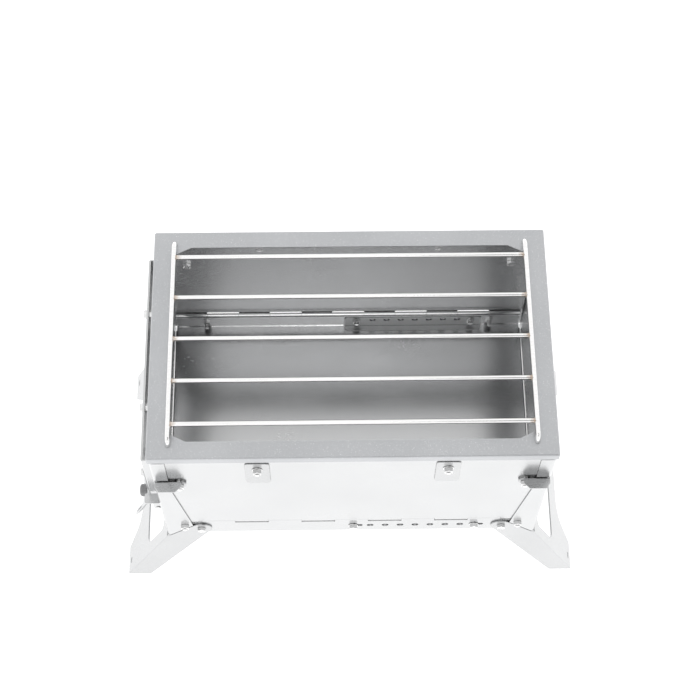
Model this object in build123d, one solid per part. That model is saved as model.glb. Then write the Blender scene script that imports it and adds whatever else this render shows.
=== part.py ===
from build123d import *
import os
from math import atan2, cos, hypot, pi, sin, sqrt, tan

# Folding camp grill: sheet-steel firebox on two U-shaped leg stands.
# Millimetres. X runs along the hinges, -Y is the front, +Z is up, and the
# origin is on the ground under the middle of the box.

# ---- driving dimensions -------------------------------------------------
rim_top = 350.0            # height of the top frame's upper face
rim_width = 400.0          # top frame, outside, along X
rim_depth = 251.2          # top frame, outside, along Y
rim_lip = 10.0             # depth of the turned-down edge
rim_bend = 2.0
opening_width = 360.0      # cooking opening in the top frame
opening_depth = 214.0
opening_chamfer_x = 18.0   # cut corners of the opening
opening_chamfer_y = 9.0

sheet = 1.2                # panels
leg_sheet = 1.5            # leg stands and lever
slack = 0.2                # air between sheets that move on each other
thin_slack = 0.15          # air under a nut that something turns beneath

wall_face = 124.0          # |y| of the outer face of front and rear walls
wall_half = 194.5          # half the width of those walls
wall_top = 348.0
floor_under = 136.3        # underside of the tray
tray_half = 195.2          # half the tray's width, before its side bends
tray_side_drop = 6.2
tray_side_half = 118.0
tray_bend = 2.0

hinge_height = 169.0       # piano hinge axis
hinge_length = 387.2
knuckle_count = 11
knuckle_gap = 0.3
barrel_radius = 3.2
hinge_clearance = 0.05
leaf_cutback = 3.6         # sheet cleared round the other leaf's knuckles
hinge_pin_overhang = 0.6
hinge_pin_chamfer = 0.4

end_face = 198.4           # |x| of the outer face of the end walls
end_bottom = 129.0
end_top = 348.6
end_bend = 4.0             # outside radius of the end wall's corners
tab_edge = 183.0           # inner edge of the wrap-round corner tabs
tab_top = 338.5
tab_straight_end = 266.0   # below this the tab widens
tab_foot_x = 167.8
tab_foot_z = 156.0
tab_gap = 0.5              # gap between a tab and the leg bar under it

bolt_radius = 2.5          # M5 fasteners
bolt_clearance = 0.05
fixed_hole_clearance = 0.1
nut_across = 8.0
nut_height = 4.0
head_height = 3.5
bolt_end = 1.4             # thread showing past a nut
short_bolt_end = 0.8       # the same, behind the fuel door
long_bolt_end = 2.0        # the same, behind a damper
thread_gap = 0.02          # air between a bolt and the nut or washer round it
shank_chamfer = 0.6
hexagon_chamfer = 0.55     # corners turned off a nut or bolt head
nut_crimp_radius = 3.3     # crimped collar of a lock nut
nut_crimp_bore = 2.9
nut_crimp_height = 0.5
washer_radius = 5.2
washer_height = 1.0

tab_bolt_x = 177.0         # end wall to tray
tab_bolt_z = 161.5
button_radius = 3.8
button_height = 2.2
button_round = 1.5
socket_radius = 1.6        # hexagon socket in a button head
socket_depth = 1.2
leg_bolt_x = 160.0         # pivot of a leg stand
leg_bolt_z = 153.0
leg_bolt_inside = 10.0     # long stud end inside the tray

leg_end_radius = 11.0
ridge_top_x = 199.5        # bend line of the leg stand, top and foot
ridge_top_z = 127.0
foot_outer_x = 255.0
foot_inner_x = 230.0
foot_allowance = 6.0       # extra length, trimmed off level with the ground
leg_half = wall_face + slack + leg_sheet
arch_depth = 94.5          # leg web, down the slope
arch_half = 73.0
foot_half = 97.0
arch_radius = 30.0
window_half = 112.0
window_start = 13.0
window_end = 68.0
window_radius = 9.0
foot_slot_length = 7.0
foot_slot_width = 2.5
foot_slot_rise = 8.6       # slot above the foot's edge, along the slope
leg_ridge_radius = 1.4

latch_x = 172.0            # turning latches at the four corners
latch_z = 285.0
latch_tip = 196.5
latch_shelf_z = 291.5
latch_bottom = 278.0
latch_end_radius = 6.5
latch_spacer = 1.5
latch_reach = 11.0         # how far the finger shelf stands out
latch_tip_radius = 3.0
latch_shelf_inset = 4.0    # the shelf's slanting ends
latch_shelf_back = 1.5
latch_bend = 0.9
notch_tip = 197.0          # notch in the tab, for the latch to pass
notch_low = 277.2
notch_high = 292.9

clip_x = 93.5              # turn clips below the top frame
clip_z = 321.0
clip_width = 24.0
clip_top = 335.0
clip_bottom = 285.0
clip_top_radius = 4.0
clip_edge = 0.25           # edge rounding on the clip's face
clip_washer_gap = 0.1

vent_z = 153.0             # air holes and their sliding dampers
vent_radius = 3.6
vent_count = 7
vent_first_x = 20.1
vent_pitch = 16.0
damper_travel = 7.5
damper_bolt_xs = (2.0, 131.0)
damper_start = -11.5
damper_end = 143.5
damper_sheet = 1.0
damper_top = 158.6
damper_foot = 7.0
damper_corner = 5.0
damper_gap = 0.3           # air between the damper and the tray
damper_bend = 1.4

wire_radius = 2.5          # cooking grate
grate_height = 7.5         # wire centre above the top frame
rod_x = 178.6
rod_tip_y = 110.3
rod_bend = 7.0
grate_foot_gap = 0.1
crossbar_pitch = 45.75
crossbar_count = 5
crossbar_end = 1.0         # a crossbar ends this far short of the rod's middle
weld_start = 4.0           # inner end of a weld bead, from the rod's middle
weld_width = 2.3
weld_size = 0.5            # how far a bead stands proud of the wire
weld_round = 0.4

door_face = 208.8          # |x| of the fuel door's outer face
door_sheet = 2.0           # gauge of the door's face; its sides are ordinary sheet
door_back = 199.2
door_half = 112.5
door_top = 315.0
door_bottom = 179.3
door_bend = 1.8
door_lower_bend = 3.4
door_pivot_x = 203.5
door_pivot_z = 183.0
door_rivet_radius = 1.5
door_rivet_head = 2.6
door_rivet_head_height = 1.0
door_rivet_round = 0.7
door_lug_radius = 3.0
door_lug_half = 111.1
doorway_half = 98.0
doorway_low = 192.0
doorway_high = 302.0
doorway_radius = 6.0
door_bolt_y = 52.5
door_bolt_z = 308.0
bracket_bolts = ((-86.0, 274.0), (-105.5, 266.0))
bracket_side = 6.0         # metal beyond the bracket's bolts and the lever's pivot
bracket_above = 7.0
bracket_below = 8.0
bracket_lever_side = 8.0
bracket_lever_below = 10.0
bracket_corner = 2.5

lever_y = -106.0           # latch lever on the fuel door
lever_z = 218.0
lever_tip_y = -125.0
lever_tip_z = 195.0
lever_half_width = 6.0
lever_flat = 11.0
lever_length = 28.0
lever_rise = 14.0
lever_slot_at = 21.5       # finger slot, from the pivot
lever_slot_long = 4.4
lever_slot_short = 2.5
keeper_reach = 213.0       # |x| of the keeper's outer edge, on the left end wall
keeper_front = 125.0
keeper_back = 114.0
keeper_height = 229.0
keeper_corner = 2.0
knob_radius = 6.5
knob_height = 7.5
knob_round = 2.6
knob_chamfer = 0.6
knob_flutes = 16
knob_flute_radius = 0.7
knob_flute_out = 0.35      # a flute's middle lies this far outside the knob
knob_thread = 3.1

# ---- worked-out places --------------------------------------------------
wall_inside = wall_face - sheet
hinge_y = wall_face - barrel_radius
bore_radius = barrel_radius - sheet
pin_radius = bore_radius - hinge_clearance
knuckle_pitch = hinge_length / knuckle_count
tab_inside = wall_face + slack
tab_outside = tab_inside + sheet
latch_inside = wall_face + latch_spacer + 0.1
latch_outside = latch_inside + sheet
floor_top = floor_under + sheet
pivot_hole = bolt_radius + bolt_clearance
fixed_hole = bolt_radius + fixed_hole_clearance
slope_length = hypot(foot_outer_x - ridge_top_x, ridge_top_z)
BIG = 600.0


# ---- helpers ------------------------------------------------------------
def block(x0, x1, y0, y1, z0, z1):
    return Pos((x0 + x1) / 2, (y0 + y1) / 2, (z0 + z1) / 2) * Box(x1 - x0, y1 - y0, z1 - z0)


def rod_x_axis(x0, x1, y, z, radius):
    return Pos((x0 + x1) / 2, y, z) * Rot(0, 90, 0) * Cylinder(radius, x1 - x0)


def front_plate(outline, inner, thickness):
    """Sheet parallel to the front: outline in X and Z, from |y| = inner outwards."""
    return extrude(Plane.XZ.offset(inner) * outline, thickness)


def front_hole(x, z, radius):
    return extrude(Plane.XZ.offset(BIG / 8) * (Pos(x, z) * Circle(radius)), BIG / 8)


def polygon(*points):
    return make_face(Polyline(*points, close=True))


def to_rear(shape):
    return mirror(shape, about=Plane.XZ)


def to_left(shape):
    return mirror(shape, about=Plane.YZ)


def four_corners(shape):
    return [shape, to_left(shape), to_rear(shape), to_left(to_rear(shape))]


def facing_front(shape, x, inner, z):
    """Put a fastener made along +Z so that it points out of the front."""
    return Plane(origin=(x, -inner, z), x_dir=(1, 0, 0), z_dir=(0, -1, 0)) * shape


def facing_left(shape, out, y, z):
    return Plane(origin=(-out, y, z), x_dir=(0, 1, 0), z_dir=(-1, 0, 0)) * shape


def upright(radius, height):
    return Cylinder(radius, height, align=(Align.CENTER, Align.CENTER, Align.MIN))


def hexagon_block(height):
    prism = extrude(RegularPolygon(nut_across / 2, 6, major_radius=False), height)
    turned = upright(nut_across / sqrt(3), height)
    turned = chamfer(turned.edges().group_by(Axis.Z)[-1], hexagon_chamfer)
    return prism & turned


def nut():
    collar = upright(nut_crimp_radius, nut_crimp_height) - upright(nut_crimp_bore, nut_crimp_height)
    bore = upright(bolt_radius + thread_gap, 2 * nut_height)
    return hexagon_block(nut_height) + Pos(0, 0, nut_height) * collar - bore


def shank(length):
    bar = upright(bolt_radius, length)
    return chamfer(bar.edges().group_by(Axis.Z)[-1], shank_chamfer)


def hex_bolt(length):
    """Head below z = 0, shank above."""
    head = Rot(180, 0, 0) * hexagon_block(head_height)
    return head + shank(length)


def washer(height):
    return upright(washer_radius, height) - upright(bolt_radius + thread_gap, height)


def write(name, *shapes):
    solids = [solid for shape in shapes for solid in shape.solids()]
    shape = solids[0] if len(solids) == 1 else Compound(solids)
    export_step(shape, os.path.join("parts", name + ".step"))


# ---- tray and piano hinges ----------------------------------------------
def knuckle_spans(first):
    """X spans of every second knuckle of the front or rear hinge."""
    for number in range(first, knuckle_count, 2):
        start = -hinge_length / 2 + number * knuckle_pitch
        yield start + knuckle_gap / 2, start + knuckle_pitch - knuckle_gap / 2


def rolled_knuckles(first, leaf_from, leaf_to):
    """Barrels on the inside of the sheet, with the strip that joins them to it."""
    knuckles = []
    for x0, x1 in knuckle_spans(first):
        strip = block(x0, x1, -wall_face, -wall_inside, leaf_from, leaf_to)
        barrel = rod_x_axis(x0, x1, -hinge_y, hinge_height, barrel_radius)
        bore = rod_x_axis(x0, x1, -hinge_y, hinge_height, bore_radius)
        knuckles.append(strip + barrel - bore)
    return knuckles


def hinge_pin():
    half = hinge_length / 2 + hinge_pin_overhang
    pin = rod_x_axis(-half, half, -hinge_y, hinge_height, pin_radius)
    return chamfer(pin.edges().filter_by(GeomType.CIRCLE), hinge_pin_chamfer)


def vent_cuts(bolt_shift):
    """Air holes and the two slots that guide the damper's bolts."""
    cuts = Part()
    for number in range(vent_count):
        cuts += front_hole(vent_first_x + number * vent_pitch, vent_z, vent_radius)
    for x in damper_bolt_xs:
        slot = SlotCenterToCenter(damper_travel, 2 * fixed_hole)
        centre = x + damper_travel / 2 + bolt_shift
        cuts += extrude(Plane.XZ.offset(BIG / 8) * (Pos(centre, vent_z) * slot), BIG / 8)
    return cuts


def tray_flange():
    """Front flange with its knuckles and holes."""
    half = hinge_length / 2
    flange = block(-half, half, -wall_face, -wall_inside, floor_under, hinge_height - leaf_cutback)
    for knuckle in rolled_knuckles(1, hinge_height - leaf_cutback, hinge_height):
        flange += knuckle
    for side in (-1, 1):
        flange -= front_hole(side * tab_bolt_x, tab_bolt_z, fixed_hole)
        flange -= front_hole(side * leg_bolt_x, leg_bolt_z, fixed_hole)
    return flange - vent_cuts(0)


def tray():
    floor = block(-tray_half, tray_half, -wall_face, wall_face, floor_under, floor_top)
    drop = block(-tray_half - sheet, tray_half + sheet, -tray_side_half, tray_side_half,
                 floor_top - tray_side_drop, floor_top)
    edges = drop.edges().filter_by(Axis.Y).group_by(Axis.Z)[-1]
    drop = fillet(edges, tray_bend)
    hollow = block(-tray_half, tray_half, -tray_side_half, tray_side_half,
                   floor_top - tray_side_drop, floor_under)
    body = floor + (drop - hollow) + tray_flange() + to_rear(tray_flange())
    long_edges = body.edges().filter_by(Axis.X)
    outer = [e for e in long_edges if abs(e.center().Z - floor_under) < 0.01
             and abs(abs(e.center().Y) - wall_face) < 0.01]
    return fillet(outer, tray_bend)


def hinged_wall():
    """Front wall at rest; it folds inwards about the piano hinge."""
    wall = block(-wall_half, wall_half, -wall_face, -wall_inside, hinge_height + leaf_cutback, wall_top)
    for knuckle in rolled_knuckles(0, hinge_height, hinge_height + leaf_cutback):
        wall += knuckle
    for side in (-1, 1):
        wall -= front_hole(side * latch_x, latch_z, fixed_hole)
        wall -= front_hole(side * clip_x, clip_z, fixed_hole)
    return wall


# ---- end walls ----------------------------------------------------------
def leg_bar_outline():
    """Front bar of a leg stand: round pivot end, tapering towards the foot.

    Both edges run on a little below the ground, where the stand is cut level.
    """
    eye = Pos(leg_bolt_x, leg_bolt_z) * Circle(leg_end_radius)
    lean = (foot_outer_x - ridge_top_x) / ridge_top_z
    bar = polygon((leg_bolt_x, leg_bolt_z), (ridge_top_x, ridge_top_z),
                  (foot_outer_x + lean * foot_allowance, -foot_allowance),
                  (foot_inner_x + lean * foot_allowance, -foot_allowance))
    return make_hull((eye + bar).edges())


def corner_tab_outline():
    tab = polygon((end_face + 2, tab_top), (tab_edge, tab_top), (tab_edge, tab_straight_end),
                  (tab_foot_x, tab_foot_z), (tab_foot_x, 0), (end_face + 2, 0))
    tab -= offset(leg_bar_outline(), tab_gap)
    notch = Pos((tab_edge - 1 + notch_tip) / 2, (notch_low + notch_high) / 2)
    tab -= notch * Rectangle(notch_tip - tab_edge + 1, notch_high - notch_low)
    return tab


def end_channel():
    """Right end wall: flat web with a tab wrapped round each corner."""
    depth = end_face - tab_foot_x
    outer = Pos(end_face - depth / 2, 0) * Rectangle(depth, 2 * tab_outside)
    outer = fillet(outer.vertices().group_by(Axis.X)[-1], end_bend)
    inner = Pos(end_face - sheet - depth / 2, 0) * Rectangle(depth, 2 * tab_inside)
    inner = fillet(inner.vertices().group_by(Axis.X)[-1], end_bend - sheet)
    channel = extrude(Pos(0, 0, end_bottom) * (outer - inner), end_top - end_bottom)
    bend_start = tab_outside - end_bend
    around = block(0, BIG, -BIG, -bend_start, -1, BIG)
    tab = extrude(Plane.XZ.offset(bend_start) * corner_tab_outline(), BIG)
    waste = around - tab
    channel = channel - waste - to_rear(waste)
    hole = front_hole(tab_bolt_x, tab_bolt_z, fixed_hole)
    return channel - hole - to_rear(hole)


def door_lugs():
    """Two ears bent out of the end wall, which carry the fuel door."""
    eye = Pos(-door_pivot_x, door_pivot_z) * Circle(door_lug_radius)
    root = Pos(-end_face + sheet / 2, door_pivot_z) * Rectangle(sheet, 2 * door_lug_radius)
    outline = make_hull((eye + root).edges())
    outline -= Pos(-door_pivot_x, door_pivot_z) * Circle(door_rivet_radius)
    ear = extrude(Plane.XZ.offset(door_lug_half - sheet) * outline, sheet)
    return [ear, to_rear(ear)]


def left_end_wall():
    """End wall with the doorway, the door's ears and the keeper beside its latch."""
    wall = to_left(end_channel())
    doorway = Pos(0, (doorway_low + doorway_high) / 2) * RectangleRounded(
        2 * doorway_half, doorway_high - doorway_low, doorway_radius)
    wall -= extrude(Plane.YZ.offset(-end_face - 1) * doorway, 2 * sheet + 2)
    for ear in door_lugs():
        wall += ear
    keeper = block(-keeper_reach, -end_face + sheet / 2, -keeper_front, -keeper_back,
                   keeper_height - sheet, keeper_height)
    return wall + fillet(keeper.edges().filter_by(Axis.Z).group_by(Axis.X)[0], keeper_corner)


# ---- leg stands ---------------------------------------------------------
def leg_stand():
    """Right leg stand: two bars joined by a sloping web with a long window."""
    slope = Vector(foot_outer_x - ridge_top_x, 0, -ridge_top_z).normalized()
    outward = Vector(-slope.Z, 0, slope.X)
    web_plane = Plane(origin=(ridge_top_x, 0, ridge_top_z), x_dir=(0, 1, 0), z_dir=outward)
    reach = slope_length * (1 + foot_allowance / ridge_top_z)
    web = polygon((-leg_half, 0), (leg_half, 0), (leg_half, -reach), (foot_half, -reach),
                  (arch_half, -arch_depth), (-arch_half, -arch_depth),
                  (-foot_half, -reach), (-leg_half, -reach))
    arch_corners = [v for v in web.vertices() if abs(v.Y + arch_depth) < 0.01]
    web = fillet(arch_corners, arch_radius)
    window = Pos(0, -(window_start + window_end) / 2) * RectangleRounded(
        2 * window_half, window_end - window_start, window_radius)
    web -= window
    for side in (-1, 1):
        web -= Pos(side * window_half, foot_slot_rise - slope_length) * SlotOverall(
            foot_slot_length, foot_slot_width)
    stand = extrude(web_plane * web, -leg_sheet)
    bar = front_plate(leg_bar_outline(), wall_face + slack, leg_sheet)
    bar -= front_hole(leg_bolt_x, leg_bolt_z, pivot_hole)
    stand = stand + bar + to_rear(bar)
    ridge = [e for e in stand.edges() if e.length > slope_length - 1
             and abs(abs(e.center().Y) - leg_half) < 0.01
             and e.center().X > (ridge_top_x + foot_outer_x) / 2 - 2]
    stand = fillet(ridge, leg_ridge_radius)
    return stand - block(0, BIG, -BIG, BIG, -BIG, 0)


# ---- turning latches and clips ------------------------------------------
def corner_latch():
    """Front right latch: flat tongue with a finger shelf along its top."""
    eye = Pos(latch_x, latch_z) * Circle(latch_end_radius)
    tongue = Pos((latch_x + latch_tip) / 2, (latch_bottom + latch_shelf_z) / 2) * Rectangle(
        latch_tip - latch_x, latch_shelf_z - latch_bottom)
    low_corner = [v for v in tongue.vertices() if v.X > latch_x + 1 and v.Y < latch_z]
    tongue = fillet(low_corner, latch_tip_radius)
    outline = make_hull((eye + tongue).edges())
    plate = front_plate(outline, latch_inside, sheet)
    front = -latch_inside - latch_reach
    back = -latch_inside
    middle = (front + back) / 2
    inner_end = latch_x - latch_shelf_back
    shelf = polygon((latch_tip, back), (latch_tip, middle), (latch_tip - latch_shelf_inset, front),
                    (latch_x + latch_shelf_inset, front), (inner_end, middle), (inner_end, back))
    latch = plate + extrude(Pos(0, 0, latch_shelf_z - sheet) * shelf, sheet)
    bend = [e for e in latch.edges().filter_by(Axis.X) if abs(e.center().Y + latch_inside) < 0.01
            and abs(e.center().Z - latch_shelf_z) < 0.01]
    latch = fillet(bend, latch_bend)
    return latch - front_hole(latch_x, latch_z, pivot_hole)


def frame_clip():
    """Front right turn clip: a rounded plate on one bolt near its top."""
    outline = Pos(clip_x, (clip_top + clip_bottom) / 2) * RectangleRounded(
        clip_width, clip_top - clip_bottom, clip_top_radius)
    clip = front_plate(outline, tab_inside, sheet)
    clip = fillet(clip.faces().sort_by(Axis.Y)[0].edges(), clip_edge)
    return clip - front_hole(clip_x, clip_z, pivot_hole)


def wall_hardware():
    """Bolts, nuts and washers of one wall: two latches and two clips."""
    latch_nut_at = latch_outside + thin_slack
    clip_washer_at = tab_outside + clip_washer_gap
    clip_nut_at = clip_washer_at + washer_height
    latch_bolt = hex_bolt(latch_nut_at + nut_height + bolt_end - wall_inside)
    clip_bolt = hex_bolt(clip_nut_at + nut_height + bolt_end - wall_inside)
    bolts, nuts, washers = [], [], []
    for x, z, bolt, nut_at in ((latch_x, latch_z, latch_bolt, latch_nut_at),
                               (clip_x, clip_z, clip_bolt, clip_nut_at)):
        for side in (-1, 1):
            bolts.append(facing_front(bolt, side * x, wall_inside, z))
            nuts.append(facing_front(Rot(0, 0, 30) * nut(), side * x, nut_at, z))
    for side in (-1, 1):
        washers.append(facing_front(washer(latch_spacer), side * latch_x, wall_face, latch_z))
        washers.append(facing_front(washer(washer_height), side * clip_x, clip_washer_at, clip_z))
    return bolts, nuts, washers


# ---- dampers ------------------------------------------------------------
def damper():
    """Front damper: an angle strip inside the tray, with the same air holes."""
    face = wall_inside - damper_gap
    low = floor_top + damper_gap
    upright_leg = block(damper_start, damper_end, -face, -face + damper_sheet, low, damper_top)
    corners = upright_leg.edges().filter_by(Axis.Y).group_by(Axis.Z)[-1]
    upright_leg = fillet(corners, damper_corner)
    flat_leg = block(damper_start, damper_end, -face, -face + damper_foot, low, low + damper_sheet)
    front_corners = flat_leg.edges().filter_by(Axis.Z).group_by(Axis.Y)[-1]
    flat_leg = fillet(front_corners, damper_corner)
    strip = upright_leg + flat_leg
    bend = [e for e in strip.edges().filter_by(Axis.X) if abs(e.center().Y + face) < 0.01
            and abs(e.center().Z - low) < 0.01]
    strip = fillet(bend, damper_bend)
    for number in range(vent_count):
        strip -= front_hole(vent_first_x + number * vent_pitch, vent_z, vent_radius)
    for x in damper_bolt_xs:
        strip -= front_hole(x, vent_z, fixed_hole)
    return strip


def damper_hardware():
    """Bolts with their heads outside, washers over the slots, nuts inside."""
    inside = wall_inside - damper_gap - damper_sheet
    washer_at = wall_face + thin_slack
    head_at = washer_at + washer_height
    length = head_at - inside + nut_height + long_bolt_end
    bolt = Rot(180, 0, 0) * hex_bolt(length)
    bolts, nuts = [], []
    for x in damper_bolt_xs:
        bolts.append(facing_front(bolt, x, head_at, vent_z))
        bolts.append(facing_front(washer(washer_height), x, washer_at, vent_z))
        nuts.append(facing_front(Rot(180, 0, 0) * nut(), x, inside, vent_z))
    return bolts, nuts


# ---- frame and grate ----------------------------------------------------
def shell_block(width, depth, low, high, radius):
    solid = block(-width / 2, width / 2, -depth / 2, depth / 2, low, high)
    edges = solid.edges().filter_by(Axis.Z) + solid.edges().group_by(Axis.Z)[-1]
    return fillet(edges, radius)


def top_frame():
    """Flat rim with lips turned down all round and a cut-cornered opening."""
    outer = shell_block(rim_width, rim_depth, rim_top - rim_lip, rim_top, rim_bend)
    inner = shell_block(rim_width - 2 * sheet, rim_depth - 2 * sheet, rim_top - rim_lip,
                        rim_top - sheet, rim_bend - sheet)
    half_x, half_y = opening_width / 2, opening_depth / 2
    short_x, short_y = half_x - opening_chamfer_x, half_y - opening_chamfer_y
    corners = [(half_x, short_y), (short_x, half_y), (-short_x, half_y), (-half_x, short_y),
               (-half_x, -short_y), (-short_x, -half_y), (short_x, -half_y), (half_x, -short_y)]
    opening = extrude(Pos(0, 0, rim_top - 2 * sheet) * polygon(*corners), 3 * sheet)
    return outer - inner - opening


def grate_side_rod():
    """Right side rod, its ends bent down to stand on the frame."""
    high = rim_top + grate_height
    low = rim_top + grate_foot_gap
    turn = rod_tip_y - rod_bend
    middle = rod_bend * (1 - cos(pi / 4))
    path = Polyline((rod_x, -turn, high), (rod_x, turn, high))
    for side in (-1, 1):
        path += ThreePointArc((rod_x, side * turn, high),
                              (rod_x, side * (rod_tip_y - middle), high - middle),
                              (rod_x, side * rod_tip_y, high - rod_bend))
        path += Line((rod_x, side * rod_tip_y, high - rod_bend), (rod_x, side * rod_tip_y, low))
    start = Plane(origin=(rod_x, rod_tip_y, low), z_dir=(0, 0, 1))
    return sweep(start * Circle(wire_radius), path=path.wire())


def crossbar_places():
    return [(number - (crossbar_count - 1) / 2) * crossbar_pitch for number in range(crossbar_count)]


def grate():
    rod = grate_side_rod()
    rods = [rod, to_left(rod)]
    bars, welds = [], []
    height = rim_top + grate_height
    for y in crossbar_places():
        bar = rod_x_axis(crossbar_end - rod_x, rod_x - crossbar_end, y, height, wire_radius)
        bars.append(bar - rods[0] - rods[1])
        for side in (-1, 1):
            start, end = rod_x - weld_start, rod_x - weld_start + weld_width
            bead = rod_x_axis(*sorted((side * start, side * end)), y, height, wire_radius + weld_size)
            bead = fillet(bead.edges().filter_by(GeomType.CIRCLE), weld_round)
            welds.append(bead - bars[-1] - rods[0] - rods[1])
    return rods, bars, welds


# ---- fuel door ----------------------------------------------------------
def fuel_door():
    """Plate with two turned-in sides on the left end wall; it swings down on two rivets."""
    pan = block(-door_face, -door_back, -door_half, door_half, door_bottom, door_top)
    pan = fillet(pan.edges().filter_by(Axis.Z).group_by(Axis.X)[0], door_bend)
    hollow = block(-door_face + door_sheet, 0, -door_half + sheet, door_half - sheet, 0, BIG)
    pan -= hollow
    back = [e for e in pan.edges().filter_by(Axis.Y) if e.center().Z < door_bottom + 0.01
            and e.center().X > -door_back - 0.01]
    pan = fillet(back, door_lower_bend)
    pan -= Pos(-door_pivot_x, 0, door_pivot_z) * Rot(90, 0, 0) * Cylinder(
        door_rivet_radius + bolt_clearance, BIG)
    for y, z in door_bolt_places() + list(bracket_bolts) + [(lever_y, lever_z)]:
        pan -= left_hole(y, z, fixed_hole)
    return pan


def left_hole(y, z, radius):
    return Pos(-door_face, y, z) * Rot(0, 90, 0) * Cylinder(radius, 12)


def door_bolt_places():
    return [(-door_bolt_y, door_bolt_z), (door_bolt_y, door_bolt_z)]


def latch_bracket():
    (inner_y, inner_z), (outer_y, outer_z) = bracket_bolts
    edge = -door_half + 1
    inner = inner_y + bracket_side
    neck = lever_y + bracket_lever_side
    foot = lever_z - bracket_lever_below
    outline = polygon((inner, inner_z + bracket_above), (edge, inner_z + bracket_above), (edge, foot),
                      (neck, foot), (neck, outer_z - bracket_lever_below), (inner, inner_z - bracket_below))
    outline = fillet(outline.vertices(), bracket_corner)
    plate = extrude(Plane.YZ.offset(-door_face - sheet) * outline, sheet)
    for y, z in list(bracket_bolts) + [(lever_y, lever_z)]:
        plate -= left_hole(y, z, fixed_hole)
    return plate


def door_hardware():
    """Hex bolts of the door's top edge and of the latch bracket, nuts behind."""
    back = door_face - door_sheet
    bolts, nuts = [], []
    for face, places in ((door_face, door_bolt_places()), (door_face + sheet, bracket_bolts)):
        for y, z in places:
            bolt = Rot(180, 0, 0) * hex_bolt(face - back + nut_height + short_bolt_end)
            bolts.append(facing_left(bolt, face, y, z))
            nuts.append(facing_left(Rot(180, 0, 0) * nut(), back, y, z))
    return bolts, nuts


def lever_plane():
    reach = Vector(0, lever_tip_y - lever_y, lever_tip_z - lever_z).normalized()
    lift = door_face + sheet + thin_slack
    return Plane(origin=(-lift, lever_y, lever_z), x_dir=reach, z_dir=(-1, 0, 0))


def latch_lever():
    """Flat strap round the pivot, bent outwards into a handle with a finger slot."""
    tilt = atan2(lever_rise, lever_length - lever_flat)
    inner_bend = lever_flat - leg_sheet * tan(tilt / 2)
    profile = polygon((-lever_half_width, 0), (lever_flat, 0), (lever_length, lever_rise),
                      (lever_length - leg_sheet * sin(tilt), lever_rise + leg_sheet * cos(tilt)),
                      (inner_bend, leg_sheet), (-lever_half_width, leg_sheet))
    strap = extrude(Plane.XZ * profile, lever_half_width, both=True)
    outline = SlotOverall(lever_length + lever_half_width, 2 * lever_half_width)
    outline = Pos((lever_length - lever_half_width) / 2, 0) * outline
    strap &= extrude(outline, 2 * lever_rise)
    strap -= extrude(Pos(lever_slot_at, 0) * Ellipse(lever_slot_long, lever_slot_short), 2 * lever_rise)
    strap -= upright(pivot_hole, 4)
    return lever_plane() * strap


def lever_pivot():
    """Pivot bolt with its nut inside the door, and the round knob on its outer end."""
    back = door_face - door_sheet
    knob_at = door_face + sheet + thin_slack + leg_sheet + thin_slack
    stem_start = nut_height + short_bolt_end
    stem = shank(knob_at - back + stem_start + knob_thread - thread_gap)
    stem = facing_left(Pos(0, 0, -stem_start) * stem, back, lever_y, lever_z)
    lock_nut = facing_left(Rot(180, 0, 0) * nut(), back, lever_y, lever_z)
    knob = upright(knob_radius, knob_height)
    knob = fillet(knob.edges().group_by(Axis.Z)[-1], knob_round)
    knob = chamfer(knob.edges().group_by(Axis.Z)[0], knob_chamfer)
    flute = Pos(knob_radius + knob_flute_out, 0, 0) * upright(knob_flute_radius, knob_height)
    for number in range(knob_flutes):
        knob -= Rot(0, 0, number * 360 / knob_flutes) * flute
    knob -= upright(bolt_radius + thread_gap, knob_thread)
    return stem, lock_nut, facing_left(knob, knob_at, lever_y, lever_z)


def door_rivets():
    """Pivot rivets through the ears and the door's side edges."""
    inside = door_lug_half - sheet
    outside = door_half + thin_slack
    head = upright(door_rivet_head, door_rivet_head_height)
    rivet = Pos(0, 0, -door_rivet_head_height) * head
    rivet += upright(door_rivet_radius, outside - inside)
    rivet += Pos(0, 0, outside - inside) * head
    rivet = fillet(rivet.edges().group_by(Axis.Z)[-1], door_rivet_round)
    placed = facing_front(rivet, -door_pivot_x, inside, door_pivot_z)
    return [placed, to_rear(placed)]


# ---- fixed fasteners of the firebox -------------------------------------
def tab_fasteners():
    """Button-head bolts from inside the tray, nuts on the corner tabs."""
    head = Pos(0, 0, -button_height) * upright(button_radius, button_height)
    head = fillet(head.edges().group_by(Axis.Z)[0], button_round)
    socket = Pos(0, 0, -button_height) * extrude(RegularPolygon(socket_radius, 6), socket_depth)
    length = tab_outside - wall_inside + nut_height + bolt_end
    bolt = facing_front(head - socket + shank(length), tab_bolt_x, wall_inside, tab_bolt_z)
    outer_nut = facing_front(nut(), tab_bolt_x, tab_outside, tab_bolt_z)
    return four_corners(bolt), four_corners(outer_nut)


def leg_fasteners():
    """Pivot bolts of the leg stands, with lock nuts and long ends inside."""
    head_at = leg_half + thin_slack
    length = head_at - wall_inside + leg_bolt_inside
    bolt = facing_front(Rot(180, 0, 0) * hex_bolt(length), leg_bolt_x, head_at, leg_bolt_z)
    lock_nut = facing_front(Rot(180, 0, 0) * nut(), leg_bolt_x, wall_inside, leg_bolt_z)
    return four_corners(bolt), four_corners(lock_nut)


# ---- write every piece --------------------------------------------------
def shifted(shapes, distance):
    return [Pos(distance, 0, 0) * shape for shape in shapes]


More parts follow.
